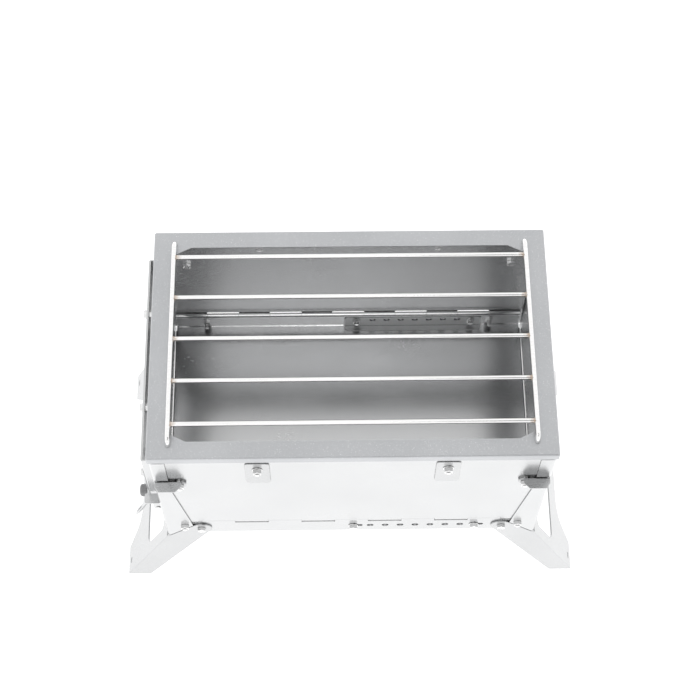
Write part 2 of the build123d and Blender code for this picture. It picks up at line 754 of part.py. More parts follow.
def main():
    os.makedirs("parts", exist_ok=True)

    write("tray", tray())
    write("left_end_wall", left_end_wall())
    write("right_end_wall", end_channel())
    write("front_hinge_pin", hinge_pin())
    write("rear_hinge_pin", to_rear(hinge_pin()))
    for name, shapes in zip(("end_wall_bolts", "end_wall_nuts"), tab_fasteners()):
        write(name, *shapes)
    for name, shapes in zip(("leg_pivot_bolts", "leg_pivot_nuts"), leg_fasteners()):
        write(name, *shapes)
    write("door_hinge_rivets", *door_rivets())

    write("front_wall", hinged_wall())
    write("rear_wall", to_rear(hinged_wall()))
    for kind, shapes in zip(("bolts", "nuts", "washers"), wall_hardware()):
        write("front_wall_" + kind, *shapes)
        write("rear_wall_" + kind, *[to_rear(shape) for shape in shapes])

    corners = ("front_right", "front_left", "rear_right", "rear_left")
    for corner, latch, clip in zip(corners, four_corners(corner_latch()), four_corners(frame_clip())):
        write(corner + "_latch", latch)
        write(corner + "_clip", clip)

    write("right_leg_stand", leg_stand())
    write("left_leg_stand", to_left(leg_stand()))

    bolts, nuts = damper_hardware()
    for name, shapes in (("damper", [damper()]), ("damper_bolts", bolts), ("damper_nuts", nuts)):
        write("front_" + name, *shapes)
        write("rear_" + name, *shifted([to_rear(shape) for shape in shapes], damper_travel))

    write("top_frame", top_frame())
    for name, shapes in zip(("grate_side_rods", "grate_crossbars", "grate_welds"), grate()):
        write(name, *shapes)

    write("fuel_door", fuel_door())
    write("latch_bracket", latch_bracket())
    for name, shapes in zip(("door_bolts", "door_nuts"), door_hardware()):
        write(name, *shapes)
    write("door_latch_lever", latch_lever())
    for name, shape in zip(("door_latch_pivot", "door_latch_nut", "door_latch_knob"), lever_pivot()):
        write(name, shape)


if __name__ == "__main__":
    main()
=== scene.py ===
"""Folding camp grill: finishes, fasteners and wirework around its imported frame."""
import math

import bmesh
import bpy
from bpy.props import FloatProperty, FloatVectorProperty, IntProperty, PointerProperty
from mathutils import Matrix, Vector, noise


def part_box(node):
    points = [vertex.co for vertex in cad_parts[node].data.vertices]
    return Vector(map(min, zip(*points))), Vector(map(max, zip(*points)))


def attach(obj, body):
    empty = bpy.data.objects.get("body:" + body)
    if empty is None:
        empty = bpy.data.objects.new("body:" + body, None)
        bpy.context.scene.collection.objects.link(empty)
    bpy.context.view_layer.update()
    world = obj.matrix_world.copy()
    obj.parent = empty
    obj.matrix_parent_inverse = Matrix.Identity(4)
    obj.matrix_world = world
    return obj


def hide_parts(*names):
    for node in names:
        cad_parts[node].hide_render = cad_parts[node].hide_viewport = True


bl_info = {
    "name": "Folding Camp Grill",
    "version": (1, 0, 0),
    "blender": (4, 5, 0),
    "location": "3D View > Sidebar > Camp Grill",
    "description": "Steel finishes, threaded fasteners and a wire grate for a folding camp grill",
    "category": "Object",
}

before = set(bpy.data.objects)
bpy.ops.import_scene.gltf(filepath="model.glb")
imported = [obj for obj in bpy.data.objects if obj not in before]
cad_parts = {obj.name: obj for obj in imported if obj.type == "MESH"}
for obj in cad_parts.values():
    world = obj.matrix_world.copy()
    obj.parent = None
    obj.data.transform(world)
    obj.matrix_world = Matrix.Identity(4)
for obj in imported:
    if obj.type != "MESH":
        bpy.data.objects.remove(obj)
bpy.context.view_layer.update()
BARS_LOW, BARS_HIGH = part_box("grate_crossbars")
RODS_LOW, RODS_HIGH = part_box("grate_side_rods")
WIRE_RADIUS = (BARS_HIGH.z - BARS_LOW.z) / 2
MM = 0.001
# near-black painted shade for narrow gaps between parts
PAINTED_GAP_SHADE = (0.035, 0.034, 0.033)

PIN_LOW, PIN_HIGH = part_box("front_hinge_pin")
HINGE_DEPTH = -(PIN_LOW.y + PIN_HIGH.y) / 2
HINGE_HEIGHT = (PIN_LOW.z + PIN_HIGH.z) / 2
BARREL_REACH = 3.1 * MM
BARREL_INSET = 0.7 * MM         # keeps the painted highlight off the walls' outer faces
FOLD_DEPTH, FOLD_HEIGHT = 122.8 * MM, 137.5 * MM    # inner corner where the tray turns up, given a painted highlight line
FOLD_REACH = 0.9 * MM

SHEET_NODES = ("tray", "left_end_wall", "right_end_wall", "front_wall", "rear_wall")
LEG_NODES = ("left_leg_stand", "right_leg_stand")
CORNERS = ("front_left", "front_right", "rear_left", "rear_right")
WALL_SIDES = ("front", "rear")


# ---- settings -----------------------------------------------------------
class CampGrillSteel(bpy.types.PropertyGroup):
    """Colours and polish of the grill's metals"""

    sheet_colour: FloatVectorProperty(
        name="Sheet colour", description="Bright sheet of walls, tray and end walls",
        subtype="COLOR", min=0, max=1, default=(0.62, 0.625, 0.63))
    sheet_roughness: FloatProperty(
        name="Sheet roughness", description="Blur of the reflections in the walls",
        subtype="FACTOR", min=0, max=1, default=0.22)
    frame_colour: FloatVectorProperty(
        name="Frame colour", description="Fine-grained top frame",
        subtype="COLOR", min=0, max=1, default=(0.535, 0.545, 0.56))
    frame_roughness: FloatProperty(
        name="Frame roughness", description="Blur of the reflections in the top frame",
        subtype="FACTOR", min=0, max=1, default=0.42)
    leg_colour: FloatVectorProperty(
        name="Leg colour", description="Satin leg stands",
        subtype="COLOR", min=0, max=1, default=(0.575, 0.58, 0.585))
    wire_colour: FloatVectorProperty(
        name="Wire colour", description="Polished grate wire",
        subtype="COLOR", min=0, max=1, default=(1.0, 0.995, 0.99))
    damper_colour: FloatVectorProperty(
        name="Damper colour", description="Dark satin air dampers",
        subtype="COLOR", min=0, max=1, default=(0.6, 0.605, 0.61))
    hardware_colour: FloatVectorProperty(
        name="Hardware colour", description="Bolts, nuts and washers",
        subtype="COLOR", min=0, max=1, default=(0.92, 0.92, 0.92))
    heat_tint: FloatVectorProperty(
        name="Heat tint", description="Straw-brown colour beside a weld",
        subtype="COLOR", min=0, max=1, default=(0.42, 0.27, 0.15))


class CampGrillFasteners(bpy.types.PropertyGroup):
    """Proportions of the metric bolts and nuts"""

    across_flats: FloatProperty(
        name="Across flats", description="Width of a nut between opposite flats",
        unit="LENGTH", default=8 * MM)
    head_height: FloatProperty(
        name="Head height", description="Height of a hexagon head",
        unit="LENGTH", default=3.5 * MM)
    button_height: FloatProperty(
        name="Button height", description="Height of a button head",
        unit="LENGTH", default=2.2 * MM)
    thread_radius: FloatProperty(
        name="Thread radius", description="Radius over the thread's crests",
        unit="LENGTH", default=2.5 * MM)
    thread_pitch: FloatProperty(
        name="Thread pitch", description="Distance between two threads",
        unit="LENGTH", default=0.8 * MM)
    thread_depth: FloatProperty(
        name="Thread depth", description="Depth of a thread's groove",
        unit="LENGTH", default=0.42 * MM)
    segments: IntProperty(
        name="Segments", description="Faces round a fastener", min=12, default=48)


class CampGrillGrate(bpy.types.PropertyGroup):
    """Wire grate"""

    bar_count: IntProperty(name="Crossbars", description="Number of crossbars", min=2, default=5)
    bar_end: FloatProperty(
        name="Bar end", description="How far a crossbar stops short of the side rod's middle",
        unit="LENGTH", default=1.2 * MM)
    rod_bend: FloatProperty(
        name="Rod bend", description="Bend radius at the side rods' ends",
        unit="LENGTH", default=7 * MM)
    sides: IntProperty(name="Sides", description="Faces round the wire", min=8, default=28)
    bead_lumps: FloatProperty(
        name="Bead lumps", description="Unevenness of a weld bead, as a share of its size",
        subtype="FACTOR", min=0, max=1, default=0.16)


class CampGrillStage(bpy.types.PropertyGroup):
    """Camera, floor and studio light"""

    camera_place: FloatVectorProperty(
        name="Camera place", description="Where the camera stands", subtype="TRANSLATION",
        unit="LENGTH", default=(-0.0231, -0.7110, 1.8117))
    camera_pitch: FloatProperty(
        name="Camera pitch", description="How far the camera looks down",
        subtype="ANGLE", default=math.radians(64.384))
    camera_yaw: FloatProperty(
        name="Camera yaw", description="Turn of the camera to the left",
        subtype="ANGLE", default=math.radians(-1.774))
    camera_roll: FloatProperty(
        name="Camera roll", description="Lean of the camera",
        subtype="ANGLE", default=math.radians(1.051))
    lens: FloatProperty(
        name="Lens", description="Focal length in millimetres on a 36 mm sensor", default=84.056)
    floor_colour: FloatVectorProperty(
        name="Floor colour", description="Frosted top of the light table the grill stands on",
        subtype="COLOR", min=0, max=1, default=(0.3, 0.3, 0.3))
    floor_glow: FloatProperty(
        name="Floor glow", description="White light given off by the light table", min=0, default=1.08)
    ceiling: FloatProperty(
        name="Ceiling", description="Brightness of the ceiling overhead", min=0, default=1.02)
    walls: FloatProperty(
        name="Walls", description="Brightness of the white walls round the room", min=0, default=1.0)
    shade: FloatProperty(
        name="Dark panel", description="Share of light left in front of the dark panel, up to the right",
        subtype="FACTOR", min=0, max=1, default=0.18)
    lamp_direction: FloatVectorProperty(
        name="Lamp direction", description="Direction of the small lamp overhead, towards the front",
        subtype="DIRECTION", default=(0.06, -0.43, 0.90))
    lamp_glow: FloatProperty(
        name="Lamp glow", description="How much brighter than the ceiling the lamp is", min=0, default=2.6)
    key_strength: FloatProperty(
        name="Key light", description="Strength of the soft overhead light on the floor", min=0, default=0.4)
    key_spread: FloatProperty(
        name="Key spread", description="Angular size of the overhead light",
        subtype="ANGLE", default=math.radians(75))


# ---- mesh helpers -------------------------------------------------------
def solids_in(node):
    """Lowest and highest corner of each separate solid of a CAD node."""
    shape = bmesh.new()
    shape.from_mesh(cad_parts[node].data)
    bmesh.ops.remove_doubles(shape, verts=shape.verts, dist=0.001 * MM)
    waiting = set(shape.verts)
    boxes = []
    while waiting:
        front = [waiting.pop()]
        seen = list(front)
        while front:
            vertex = front.pop()
            for edge in vertex.link_edges:
                other = edge.other_vert(vertex)
                if other in waiting:
                    waiting.discard(other)
                    front.append(other)
                    seen.append(other)
        corners = list(zip(*[v.co for v in seen]))
        boxes.append((Vector(map(min, corners)), Vector(map(max, corners))))
    shape.free()
    return sorted(boxes, key=lambda box: tuple(round(c, 5) for c in box[0]))


def new_object(name, shape, smooth_angle=None):
    """Bmesh to object, facing outwards, smooth below the given angle."""
    bmesh.ops.recalc_face_normals(shape, faces=shape.faces)
    mesh = bpy.data.meshes.new(name)
    shape.to_mesh(mesh)
    shape.free()
    piece = bpy.data.objects.new(name, mesh)
    bpy.context.scene.collection.objects.link(piece)
    if smooth_angle is not None:
        mesh.polygons.foreach_set("use_smooth", [True] * len(mesh.polygons))
        mesh.set_sharp_from_angle(angle=math.radians(smooth_angle))
    return piece


def rings_to_faces(shape, rings, looped=False):
    """Join rings of points into a skin, capped at both ends or looped back to its first ring."""
    made = [[shape.verts.new(place) for place in ring] for ring in rings]
    count = len(made[0])
    following = made[1:] + (made[:1] if looped else [])
    for before, after in zip(made, following):
        for i in range(count):
            j = (i + 1) % count
            shape.faces.new((before[i], before[j], after[j], after[i]))
    if not looped:
        shape.faces.new(reversed(made[0]))
        shape.faces.new(made[-1])


def circle(radius, height, count):
    """Ring of points about the Z axis."""
    turn = 2 * math.pi / count
    return [(radius * math.cos(i * turn), radius * math.sin(i * turn), height) for i in range(count)]


def hexagon_ring(apothem, height, count):
    """Ring of points on a hexagon, with corners where they fall."""
    ring = []
    for i in range(count):
        angle = 2 * math.pi * i / count
        within = (angle + math.pi / 6) % (math.pi / 3) - math.pi / 6
        radius = apothem / math.cos(within)
        ring.append((radius * math.cos(angle), radius * math.sin(angle), height))
    return ring


CHAMFER_SEAT = 0.965    # flat round seat inside a hexagon's chamfer, as a share of its apothem
CHAMFER_RISE = 0.42     # slope of that chamfer


def turned_hexagon(apothem, low, high, count, chamfer_low, chamfer_high):
    """Rings of a hexagon whose corners are turned off at one or both ends."""
    rings = []
    seat = apothem * CHAMFER_SEAT
    if chamfer_low:
        rings.append(circle(seat, low, count))
    corners = hexagon_ring(apothem, 0, count)
    under, over = [], []
    for x, y, _ in corners:
        drop = (math.hypot(x, y) - seat) * CHAMFER_RISE
        under.append((x, y, low + (drop if chamfer_low else 0)))
        over.append((x, y, high - (drop if chamfer_high else 0)))
    rings += [under, over]
    if chamfer_high:
        rings.append(circle(seat, high, count))
    return rings


# ---- Geometry Nodes -----------------------------------------------------
AIMS = ("facing", "flat")     # the point attributes that turn a stamp


def add_socket(tree, name, kind, direction="INPUT"):
    return tree.interface.new_socket(name=name, in_out=direction, socket_type=kind)


def end_tree(tree, given, place):
    """Turn the instances into real geometry with the given finish, and output it."""
    real = tree.nodes.new("GeometryNodeRealizeInstances")
    finish = tree.nodes.new("GeometryNodeSetMaterial")
    result = tree.nodes.new("NodeGroupOutput")
    tree.links.new(place.outputs["Instances"], real.inputs["Geometry"])
    tree.links.new(real.outputs["Geometry"], finish.inputs["Geometry"])
    tree.links.new(given.outputs["Finish"], finish.inputs["Material"])
    tree.links.new(finish.outputs["Geometry"], result.inputs["Geometry"])


def scatter_tree():
    """Put a stamp on every point, its Z along 'facing' and its X along 'flat'."""
    tree = bpy.data.node_groups.new("fastener_scatter", "GeometryNodeTree")
    add_socket(tree, "Geometry", "NodeSocketGeometry")
    add_socket(tree, "Stamp", "NodeSocketObject")
    add_socket(tree, "Finish", "NodeSocketMaterial")
    add_socket(tree, "Geometry", "NodeSocketGeometry", "OUTPUT")
    nodes, links = tree.nodes, tree.links
    given = nodes.new("NodeGroupInput")
    stamp = nodes.new("GeometryNodeObjectInfo")
    stamp.inputs["As Instance"].default_value = True
    links.new(given.outputs["Stamp"], stamp.inputs["Object"])
    facing, flat = (nodes.new("GeometryNodeInputNamedAttribute") for _ in AIMS)
    for node, aim in zip((facing, flat), AIMS):
        node.data_type = "FLOAT_VECTOR"
        node.inputs["Name"].default_value = aim
    point = nodes.new("FunctionNodeAlignRotationToVector")
    point.axis = "Z"
    links.new(facing.outputs["Attribute"], point.inputs["Vector"])
    turn = nodes.new("FunctionNodeAlignRotationToVector")
    turn.axis = "X"
    turn.pivot_axis = "Z"
    links.new(point.outputs["Rotation"], turn.inputs["Rotation"])
    links.new(flat.outputs["Attribute"], turn.inputs["Vector"])
    place = nodes.new("GeometryNodeInstanceOnPoints")
    links.new(given.outputs["Geometry"], place.inputs["Points"])
    links.new(stamp.outputs["Geometry"], place.inputs["Instance"])
    links.new(turn.outputs["Rotation"], place.inputs["Rotation"])
    end_tree(tree, given, place)
    return tree


def crossbar_tree():
    """A row of equal wires along X, spaced along Y."""
    tree = bpy.data.node_groups.new("grate_crossbar_row", "GeometryNodeTree")
    add_socket(tree, "Geometry", "NodeSocketGeometry")
    for name, kind in (("Count", "NodeSocketInt"), ("Sides", "NodeSocketInt"),
                       ("First Place", "NodeSocketVector"), ("Pitch", "NodeSocketVector"),
                       ("Half Length", "NodeSocketVector"), ("Wire Radius", "NodeSocketFloat"),
                       ("Finish", "NodeSocketMaterial")):
        add_socket(tree, name, kind)
    add_socket(tree, "Geometry", "NodeSocketGeometry", "OUTPUT")
    nodes, links = tree.nodes, tree.links
    given = nodes.new("NodeGroupInput")
    row = nodes.new("GeometryNodeMeshLine")
    row.mode = "OFFSET"
    links.new(given.outputs["Count"], row.inputs["Count"])
    links.new(given.outputs["First Place"], row.inputs["Start Location"])
    links.new(given.outputs["Pitch"], row.inputs["Offset"])
    backwards = nodes.new("ShaderNodeVectorMath")
    backwards.operation = "SCALE"
    backwards.inputs["Scale"].default_value = -1
    links.new(given.outputs["Half Length"], backwards.inputs[0])
    wire = nodes.new("GeometryNodeCurvePrimitiveLine")
    links.new(backwards.outputs["Vector"], wire.inputs["Start"])
    links.new(given.outputs["Half Length"], wire.inputs["End"])
    section = nodes.new("GeometryNodeCurvePrimitiveCircle")
    links.new(given.outputs["Sides"], section.inputs["Resolution"])
    links.new(given.outputs["Wire Radius"], section.inputs["Radius"])
    skin = nodes.new("GeometryNodeCurveToMesh")
    skin.inputs["Fill Caps"].default_value = True
    links.new(wire.outputs["Curve"], skin.inputs["Curve"])
    links.new(section.outputs["Curve"], skin.inputs["Profile Curve"])
    place = nodes.new("GeometryNodeInstanceOnPoints")
    links.new(row.outputs["Mesh"], place.inputs["Points"])
    links.new(skin.outputs["Mesh"], place.inputs["Instance"])
    end_tree(tree, given, place)
    return tree


def grown(name, tree, seed_mesh, inputs, smooth_angle):
    """Run a tree on a seed mesh and keep the result as a plain mesh object."""
    seed = bpy.data.objects.new(name + "_seed", seed_mesh)
    bpy.context.scene.collection.objects.link(seed)
    modifier = seed.modifiers.new("grow", "NODES")
    modifier.node_group = tree
    sockets = {item.name: item.identifier for item in tree.interface.items_tree
               if item.item_type == "SOCKET" and item.in_out == "INPUT"}
    for label, value in inputs.items():
        modifier[sockets[label]] = value
    bpy.context.view_layer.update()
    evaluated = seed.evaluated_get(bpy.context.evaluated_depsgraph_get())
    mesh = bpy.data.meshes.new_from_object(evaluated)
    mesh.name = name
    seed.modifiers.remove(modifier)
    bpy.data.objects.remove(seed)
    for old in [a.name for a in mesh.attributes if a.name in AIMS]:
        mesh.attributes.remove(mesh.attributes[old])
    mesh.polygons.foreach_set("use_smooth", [True] * len(mesh.polygons))
    mesh.set_sharp_from_angle(angle=math.radians(smooth_angle))
    piece = bpy.data.objects.new(name, mesh)
    bpy.context.scene.collection.objects.link(piece)
    return piece


def joined(name, pieces):
    """One object from several, their materials kept."""
    shape = bmesh.new()
    finishes = []
    for piece in pieces:
        start = len(shape.faces)
        finish = piece.data.materials[0]
        if finish not in finishes:
            finishes.append(finish)
        shape.from_mesh(piece.data)
        shape.faces.ensure_lookup_table()
        for index in range(start, len(shape.faces)):
            shape.faces[index].material_index = finishes.index(finish)
    mesh = bpy.data.meshes.new(name)
    shape.to_mesh(mesh)
    shape.free()
    for finish in finishes:
        mesh.materials.append(finish)
    for piece in pieces:
        bpy.data.objects.remove(piece)
    whole = bpy.data.objects.new(name, mesh)
    bpy.context.scene.collection.objects.link(whole)
    return whole


# ---- materials ----------------------------------------------------------
EDGE_SAMPLES = 4
EDGE_TURN = (0.80, 0.995)       # cosine of a surface's turn, from full painted edge light to none
GAP_OPENNESS = (0.25, 0.72)     # share of open sky, from full painted shade to none
SHEET_GAP = 2.5 * MM            # widest gap between sheets that gets painted shade
SHEET_GAP_SHADE = 0.85               # how much of the steel the painted shade there hides
SHEET_EDGE_LIGHT = 0.6                # how much of it the painted light on a sharp edge hides
HARDWARE_GAP = 1.5 * MM         # the same three for fasteners
HARDWARE_GAP_SHADE = 0.9
HARDWARE_EDGE_LIGHT = 0.7


class Recipe:
    """Small helper that wires up one material."""

    def __init__(self, name, metallic=1.0):
        self.material = bpy.data.materials.get(name) or bpy.data.materials.new(name)
        self.material.use_nodes = True
        self.nodes = self.material.node_tree.nodes
        self.links = self.material.node_tree.links
        self.nodes.clear()
        self.shader = self.nodes.new("ShaderNodeBsdfPrincipled")
        self.shader.inputs["Metallic"].default_value = metallic
        output = self.nodes.new("ShaderNodeOutputMaterial")
        self.links.new(self.shader.outputs["BSDF"], output.inputs["Surface"])
        self.place = self.nodes.new("ShaderNodeTexCoord").outputs["Object"]

    def noise(self, scale, detail, stretch=(1, 1, 1), roughness=0.5):
        """Noise of so many grains a metre, stretched where a stretch is below 1."""
        mapping = self.nodes.new("ShaderNodeMapping")
        mapping.inputs["Scale"].default_value = stretch
        self.links.new(self.place, mapping.inputs["Vector"])
        texture = self.nodes.new("ShaderNodeTexNoise")
        texture.inputs["Scale"].default_value = scale
        texture.inputs["Detail"].default_value = detail
        texture.inputs["Roughness"].default_value = roughness
        self.links.new(mapping.outputs["Vector"], texture.inputs["Vector"])
        return texture.outputs["Fac"]

    def spread(self, value, low, high, source=(0.3, 0.7)):
        """Map the source range of a value to the range from low to high."""
        ramp = self.nodes.new("ShaderNodeMapRange")
        ramp.clamp = True
        ramp.inputs["From Min"].default_value = source[0]
        ramp.inputs["From Max"].default_value = source[1]
        ramp.inputs["To Min"].default_value = low
        ramp.inputs["To Max"].default_value = high
        self.links.new(value, ramp.inputs["Value"])
        return ramp.outputs["Result"]

    def math(self, operation, first, second):
        """Math node on two sockets or numbers."""
        node = self.nodes.new("ShaderNodeMath")
        node.operation = operation
        for socket, value in zip(node.inputs, (first, second)):
            if isinstance(value, (int, float)):
                socket.default_value = value
            else:
                self.links.new(value, socket)
        return node.outputs["Value"]

    def mixed(self, amount, first, second):
        """Blend of two colours or colour sockets."""
        node = self.nodes.new("ShaderNodeMix")
        node.data_type = "RGBA"
        sockets = [s for s in node.inputs if s.type == "RGBA"]
        for socket, value in zip(sockets, (first, second)):
            if isinstance(value, tuple):
                socket.default_value = (*value, 1.0)
            else:
                self.links.new(value, socket)
        self.links.new(amount, node.inputs["Factor"])
        return next(s for s in node.outputs if s.type == "RGBA")

    def edge_light_mask(self, radius):
        """0 on flats, rising to 1 where the surface turns sharply; it drives the painted edge light."""
        bevel = self.nodes.new("ShaderNodeBevel")
        bevel.samples = EDGE_SAMPLES
        bevel.inputs["Radius"].default_value = radius
        normal = self.nodes.new("ShaderNodeNewGeometry").outputs["Normal"]
        dot = self.nodes.new("ShaderNodeVectorMath")
        dot.operation = "DOT_PRODUCT"
        self.links.new(bevel.outputs["Normal"], dot.inputs[0])
        self.links.new(normal, dot.inputs[1])
        return self.spread(dot.outputs["Value"], 1.0, 0.0, EDGE_TURN)

    def gap_shade_mask(self, reach):
        """0 in the open, rising to 1 in narrow gaps, where shade is painted in."""
        node = self.nodes.new("ShaderNodeAmbientOcclusion")
        node.samples = EDGE_SAMPLES
        node.inputs["Distance"].default_value = reach
        return self.spread(node.outputs["AO"], 1.0, 0.0, GAP_OPENNESS)

    def near(self, value, middle, reach):
        """1 where a value lies within reach of a middle value, else 0."""
        node = self.nodes.new("ShaderNodeMath")
        node.operation = "COMPARE"
        self.links.new(value, node.inputs[0])
        node.inputs[1].default_value = middle
        node.inputs[2].default_value = reach
        return node.outputs["Value"]

    def hinge_highlight_zone(self):
        """1 on the hinge barrels and along the tray's folded inner corner, where a highlight is painted."""
        split = self.nodes.new("ShaderNodeSeparateXYZ")
        self.links.new(self.place, split.inputs["Vector"])
        depth = self.math("ABSOLUTE", split.outputs["Y"], 0)
        barrel = self.math("MULTIPLY", self.near(depth, HINGE_DEPTH - BARREL_INSET, BARREL_REACH),
                           self.near(split.outputs["Z"], HINGE_HEIGHT, BARREL_REACH))
        fold = self.math("MULTIPLY", self.near(depth, FOLD_DEPTH, FOLD_REACH),
                         self.near(split.outputs["Z"], FOLD_HEIGHT, FOLD_REACH))
        return self.math("MAXIMUM", barrel, fold)

    def finish(self, base, blur, height, strength, distance):
        """Wire up colour, roughness and bump, and hand over the material."""
        self.links.new(base, self.shader.inputs["Base Color"])
        self.links.new(blur, self.shader.inputs["Roughness"])
        node = self.nodes.new("ShaderNodeBump")
        node.inputs["Strength"].default_value = strength
        node.inputs["Distance"].default_value = distance
        self.links.new(height, node.inputs["Height"])
        self.links.new(node.outputs["Normal"], self.shader.inputs["Normal"])
        return self.material


def darker(colour, share):
    """A colour that keeps only a share of its light."""
    return tuple(channel * share for channel in colour)


def lighter(colour, share):
    """A colour moved by a share of the way to white."""
    return tuple(channel + (1 - channel) * share for channel in colour)


def rolled_steel(name, colour, roughness, grain, grain_depth, speck=0.0, edge=0.5 * MM, clouds=0.06,
                 mottle=0.03, pitch=1300, painted_edge_colour=None, painted_hinge_light=False):
    """Rolled or ground sheet: directional grain, faint clouds, specks, painted light on sharp edges, painted
    shade in narrow gaps, and, when asked, a painted highlight on the hinge barrels and the tray's fold.
    """
    recipe = Recipe(name)
    fine = recipe.noise(scale=pitch, detail=3, stretch=grain)
    cloud = recipe.noise(scale=11, detail=4, roughness=0.6)
    edge_light = recipe.edge_light_mask(edge)
    base = recipe.mixed(recipe.spread(cloud, 0.0, 1.0), darker(colour, 1 - clouds), lighter(colour, clouds))
    base = recipe.mixed(recipe.spread(fine, mottle, 0.0, source=(0.3, 0.5)), base, (0.0, 0.0, 0.0))
    if speck:
        dots = recipe.spread(recipe.noise(scale=pitch * 1.3, detail=1), 0.0, speck, source=(0.66, 0.72))
        base = recipe.mixed(dots, base, lighter(colour, 0.7))
    # painted highlight: sharp edges move towards white, or take the given painted edge colour
    base = recipe.mixed(recipe.math("MULTIPLY", edge_light, SHEET_EDGE_LIGHT), base, painted_edge_colour or lighter(colour, 0.45))
    blur = recipe.spread(fine, roughness * 0.82, roughness * 1.2)
    if painted_hinge_light:
        polish_and_highlight = recipe.hinge_highlight_zone()
        # painted highlight on the hinge barrels and the fold; the same mask also makes them smoother
        base = recipe.mixed(polish_and_highlight, base, lighter(colour, 0.85))
        blur = recipe.math("MULTIPLY", blur, recipe.spread(polish_and_highlight, 1.0, 0.45, source=(0.0, 1.0)))
    # painted shade: narrow gaps between sheets turn near-black
    base = recipe.mixed(recipe.math("MULTIPLY", recipe.gap_shade_mask(SHEET_GAP), SHEET_GAP_SHADE), base, PAINTED_GAP_SHADE)
    blur = recipe.math("ADD", blur, recipe.spread(cloud, -0.02, 0.03))
    # the edge-light mask also lowers the roughness on sharp edges
    blur = recipe.math("SUBTRACT", blur, recipe.math("MULTIPLY", edge_light, roughness * 0.35))
    return recipe.finish(base, blur, fine, strength=0.35, distance=grain_depth)


def heat_tinted_wire(name, colour, tint, rod_x):
    """Polished wire that turns straw-brown close to the welds."""
    recipe = Recipe(name)
    split = recipe.nodes.new("ShaderNodeSeparateXYZ")
    recipe.links.new(recipe.place, split.inputs["Vector"])
    reach = recipe.math("ABSOLUTE", split.outputs["X"], 0)
    away = recipe.math("SUBTRACT", rod_x - WIRE_RADIUS, reach)
    uneven = recipe.spread(recipe.noise(scale=420, detail=2), -1.4 * MM, 1.4 * MM)
    ragged = recipe.math("ADD", away, uneven)
    heat = recipe.spread(ragged, 0.55, 0.0, source=(0.6 * MM, 5.5 * MM))
    inside = recipe.spread(away, 0.0, 1.0, source=(0.0, 0.4 * MM))
    heat = recipe.math("MULTIPLY", heat, inside)
    drawn = recipe.noise(scale=700, detail=2, stretch=(0.05, 1, 1))
    base = recipe.mixed(recipe.spread(drawn, 0, 1), darker(colour, 0.93), colour)
    base = recipe.mixed(heat, base, tint)
    return recipe.finish(base, recipe.spread(drawn, 0.08, 0.15), drawn, strength=0.25, distance=0.02 * MM)


def burnt_weld(name, colour, tint):
    """Lumpy bead, burnt brown and grey."""
    recipe = Recipe(name)
    burn = recipe.noise(scale=600, detail=4)
    base = recipe.mixed(recipe.spread(burn, 0, 1), tint, darker(colour, 0.62))
    lumps = recipe.noise(scale=1400, detail=3)
    return recipe.finish(base, recipe.spread(burn, 0.28, 0.5), lumps, strength=0.5, distance=0.12 * MM)


def bright_hardware(name, colour):
    """Turned and tumbled fasteners, with painted highlights on their edges and painted shade in the gaps
    round them.
    """
    recipe = Recipe(name)
    tumbled = recipe.noise(scale=1100, detail=3)
    patches = recipe.noise(scale=160, detail=2)
    edge_light = recipe.edge_light_mask(0.25 * MM)
    base = recipe.mixed(recipe.spread(patches, 0, 1), darker(colour, 0.8), colour)
    # painted highlight: sharp edges of the fasteners turned lighter
    base = recipe.mixed(recipe.math("MULTIPLY", edge_light, HARDWARE_EDGE_LIGHT), base, lighter(colour, 0.6))
    # painted shade: narrow gaps round the fasteners turn near-black
    base = recipe.mixed(recipe.math("MULTIPLY", recipe.gap_shade_mask(HARDWARE_GAP), HARDWARE_GAP_SHADE), base, PAINTED_GAP_SHADE)
    return recipe.finish(base, recipe.spread(tumbled, 0.12, 0.24), tumbled, strength=0.3, distance=0.03 * MM)


def coat(node, material):
    """Give a CAD node its material in every slot."""
    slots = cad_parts[node].material_slots
    if not len(slots):
        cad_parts[node].data.materials.append(material)
    for slot in slots:
        slot.material = material


# ---- fasteners ----------------------------------------------------------
THREAD_CREST = (0.42, 0.58)     # where a crest starts and ends, as a share of the pitch
HEAD_DISH = 0.35 * MM           # shallow dish in the top of a hexagon head
DISH_SHARES = (0.62, 0.8)       # its bottom and rim, as shares of the thread's radius
SOCKET_APOTHEM = 1.55 * MM      # hexagon socket of a button head
SOCKET_DEPTH = 0.6              # as a share of the head's height
BUTTON_SPREAD = 1.52            # a button head's radius over its thread's
BUTTON_DOME = ((0.62, 0.0), (0.80, 0.10), (0.92, 0.28), (0.985, 0.52), (1.0, 0.8), (1.0, 1.0))
CRIMP_HEIGHT = 0.5 * MM         # collar on a nut's far side
CRIMP_RINGS = ((3.35, 0.02), (3.2, 0.35), (3.0, 0.5), (2.75, 0.4))    # radius and rise in millimetres
NUT_BORE_GAP = 0.02 * MM
NUT_MOUTH = 0.3 * MM            # depth of the countersink at a nut's seat
NUT_MOUTH_RADIUS = 2.9 * MM
WASHER_BORE_GAP = 0.1 * MM
WASHER_EDGE = 0.2 * MM
WASHER_LIMIT = 2 * MM           # a fastener solid shorter than this is a washer
STAMP_SMOOTH = 32               # degrees; sharper edges of a stamp stay sharp


def thread_rings(settings, start, length, count):
    """Rings of a thread from start upwards, with a turned-down tip."""
    rings = []
    crest, root = settings.thread_radius, settings.thread_radius - settings.thread_depth
    turns = max(1, round(length / settings.thread_pitch))
    step = length / turns
    for turn in range(turns):
        rings.append(circle(root, start + turn * step, count))
        for share in THREAD_CREST:
            rings.append(circle(crest, start + (turn + share) * step, count))
    rings.append(circle(root, start + length, count))
    return rings


